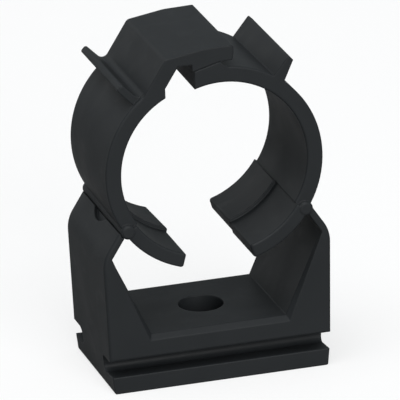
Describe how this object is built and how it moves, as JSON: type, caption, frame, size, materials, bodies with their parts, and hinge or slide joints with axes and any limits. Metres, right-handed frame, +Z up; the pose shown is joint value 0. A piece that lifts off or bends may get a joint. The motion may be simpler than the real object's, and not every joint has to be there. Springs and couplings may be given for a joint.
{
  "type": "pipe clip",
  "caption": "Snap-closing plastic pipe clip with two swinging jaws, latched at the top, on a screw-down base with rail grooves along its foot.",
  "frame": {"origin": "middle of the foot's underside, on the screw hole's axis", "axes": "+Z up from the foot towards the pipe, X across the clip with the lapping latch cover on the -X jaw, Y along the pipe"},
  "size_m": [0.0332, 0.0204, 0.0493],
  "materials": {
    "black_plastic": "satin"
  },
  "bodies": {
    "base": {"base": "black_plastic"},
    "left_jaw": {"left_jaw": "black_plastic"},
    "right_jaw": {"right_jaw": "black_plastic"}
  },
  "joints": [
    {"name": "left_jaw_swing", "type": "hinge", "parent": "base", "child": "left_jaw", "pos_m": [-0.0129, 0, 0.02399], "axis": [0, -1, 0], "range_deg": [0, 38]},
    {"name": "right_jaw_swing", "type": "hinge", "parent": "base", "child": "right_jaw", "pos_m": [0.0129, 0, 0.02399], "axis": [0, 1, 0], "range_deg": [0, 38]}
  ],
  "couplings": [
    {"joint": "right_jaw_swing", "follows": "left_jaw_swing", "ratio": 1}
  ]
}
